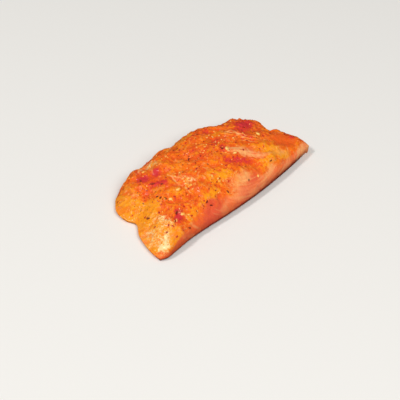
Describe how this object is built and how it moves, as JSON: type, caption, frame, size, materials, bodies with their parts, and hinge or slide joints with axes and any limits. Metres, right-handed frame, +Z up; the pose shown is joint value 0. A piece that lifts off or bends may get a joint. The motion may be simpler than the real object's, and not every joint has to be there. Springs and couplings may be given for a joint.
{
  "type": "raw salmon fillet",
  "caption": "Raw salmon fillet portion under an oily red-orange spice rub, thick in the middle and thin at both ends, with a smooth cut front face and a flat underside.",
  "frame": {"origin": "middle of the footprint's bounding box, on the underside", "axes": "+X along the portion from the thin near end to the far end, +Y across it from the cut front face to the lobed back edge, +Z up"},
  "size_m": [0.1642, 0.0818, 0.025],
  "materials": {
    "flesh": "wet, oily flesh, orange with red and yellow patches of spice, pink on the cut face",
    "granule": "cream and yellow granules of the rub",
    "fleck": "dark brown herb and pepper flecks",
    "chilli": "oily red chilli flakes"
  },
  "bodies": {
    "root": {"fillet": "flesh"}
  },
  "joints": []
}
